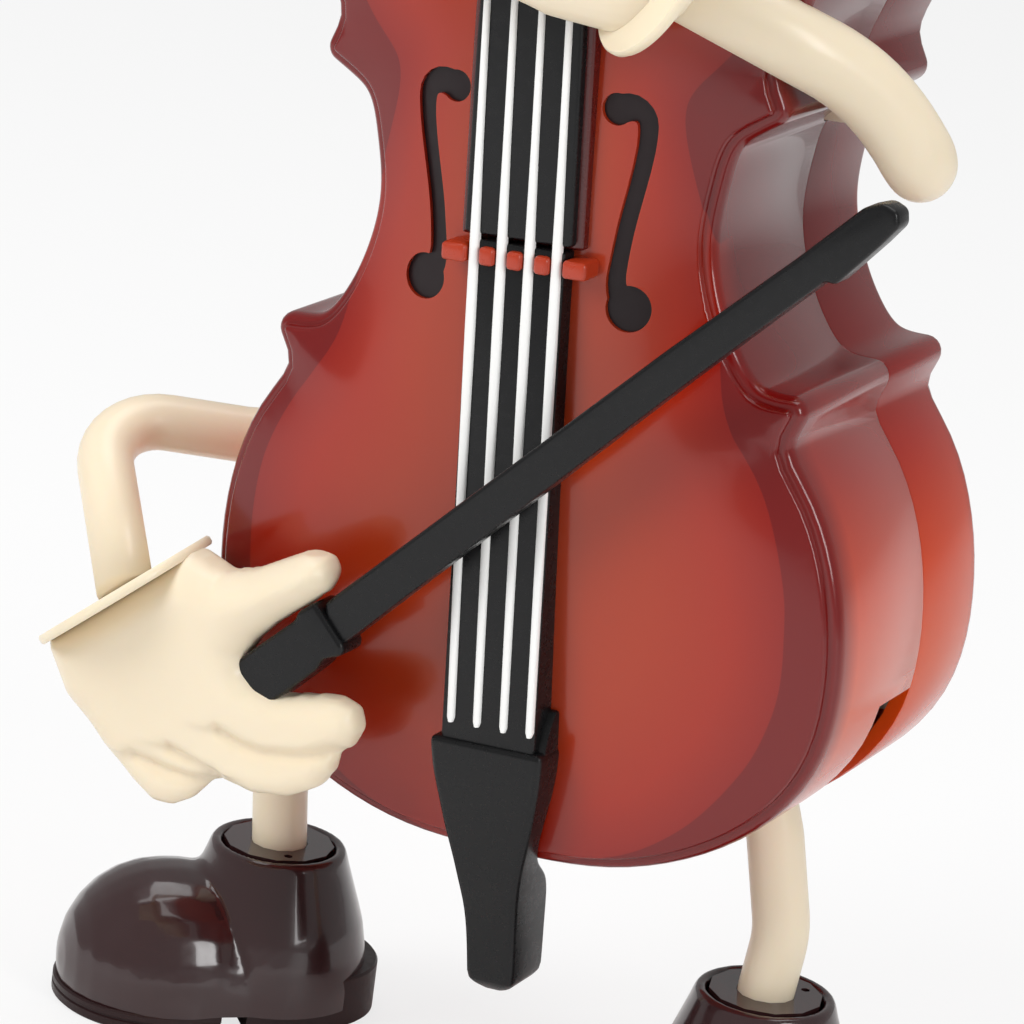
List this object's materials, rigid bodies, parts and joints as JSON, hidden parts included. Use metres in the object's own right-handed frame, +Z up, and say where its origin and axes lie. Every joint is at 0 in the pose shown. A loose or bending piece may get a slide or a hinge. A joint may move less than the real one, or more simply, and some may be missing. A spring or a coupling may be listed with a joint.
{
  "type": "cello music box",
  "caption": "Wind-up music box shaped as a cello with arms and booted legs: it sways on a hip pivot, one arm draws a bow, the other holds the fingerboard.",
  "frame": {"origin": "on the floor, under the middle of the whole object", "axes": "+Z up, the cello faces -Y, +X to the right as seen from the front"},
  "size_m": [0.1179, 0.0809, 0.2292],
  "materials": {
    "cello_red": "deep glossy orange-red",
    "bridge_red": "glossy red",
    "gloss_black": "glossy black",
    "string_white": "white",
    "limb_cream": "satin cream",
    "shoe_brown": "glossy dark brown",
    "sole_brown": "dark brown rubber",
    "peg_black": "glossy black",
    "yoke_grey": "matte moulded grey",
    "steel": "satin steel",
    "screw_steel": "zinc-plated steel",
    "brass": "polished brass",
    "key_chrome": "bright plated"
  },
  "bodies": {
    "stand": {"left_shoe": "shoe_brown", "right_shoe": "shoe_brown", "left_sole": "sole_brown", "right_sole": "sole_brown", "left_ankle_plug": "shoe_brown", "right_ankle_plug": "shoe_brown", "left_leg": "limb_cream", "right_leg": "limb_cream", "hip_yoke": "yoke_grey", "leg_screws": "screw_steel", "sole_screws": "screw_steel"},
    "cello": {"front_shell": "cello_red", "rear_shell": "cello_red", "shell_screws": "screw_steel", "neck": "cello_red", "scroll": "cello_red", "tuning_pegs": "peg_black", "fingerboard": "gloss_black", "nut": "gloss_black", "string_strip": "gloss_black", "strings": "string_white", "bridge": "bridge_red", "tailpiece": "gloss_black", "left_arm": "limb_cream", "left_hand": "limb_cream", "bedplate": "steel", "bedplate_screws": "screw_steel", "barrel_bridge": "steel", "cylinder_brackets": "steel", "comb": "steel", "comb_block": "brass", "comb_screws": "screw_steel", "governor_bracket": "steel", "hip_pin": "steel", "arm_pivot_pin": "steel"},
    "bow_arm": {"right_arm": "limb_cream", "right_hand": "limb_cream", "bow": "gloss_black", "bow_frog": "gloss_black"},
    "winding": {"winding_key": "key_chrome", "winding_arbor": "steel", "ratchet_wheel": "steel"},
    "barrel": {"great_wheel": "brass", "spring_drum": "steel", "mainspring": "steel"},
    "cylinder": {"pinned_cylinder": "brass", "cylinder_arbor": "steel", "worm_wheel": "brass"},
    "crank": {"crank_shaft": "steel", "crank_disc": "brass"},
    "fly": {"fly_shaft": "steel", "fly_wings": "brass"}
  },
  "joints": [
    {"name": "body_sway", "type": "hinge", "parent": "stand", "child": "cello", "pos_m": [0.0001, -0.0002, 0.1215], "axis": [0, 1, 0], "range_deg": [-0.6, 9.4]},
    {"name": "bow_arm_swing", "type": "hinge", "parent": "cello", "child": "bow_arm", "pos_m": [-0.02966, 0.0074, 0.07548], "axis": [0, 1, 0], "range_deg": [-0.7, 9.5]},
    {"name": "key_turn", "type": "hinge", "parent": "cello", "child": "winding", "pos_m": [0.00386, 0.0254, 0.07264], "axis": [0, 1, 0], "continuous": true},
    {"name": "barrel_turn", "type": "hinge", "parent": "cello", "child": "barrel", "pos_m": [0.00386, 0.0193, 0.07264], "axis": [0, 1, 0], "continuous": true},
    {"name": "cylinder_spin", "type": "hinge", "parent": "cello", "child": "cylinder", "pos_m": [0.02659, 0.0134, 0.07439], "axis": [0.9971, 0, 0.0767], "continuous": true},
    {"name": "crank_spin", "type": "hinge", "parent": "cello", "child": "crank", "pos_m": [0.00259, 0.0193, 0.08919], "axis": [0, 1, 0], "continuous": true},
    {"name": "fly_spin", "type": "hinge", "parent": "cello", "child": "fly", "pos_m": [0.03581, 0.0134, 0.08227], "axis": [0, 1, 0], "continuous": true}
  ],
  "couplings": [
    {"joint": "bow_arm_swing", "follows": "body_sway", "ratio": 1},
    {"joint": "cylinder_spin", "follows": "barrel_turn", "ratio": -3},
    {"joint": "crank_spin", "follows": "barrel_turn", "ratio": -4},
    {"joint": "fly_spin", "follows": "barrel_turn", "ratio": -96}
  ]
}
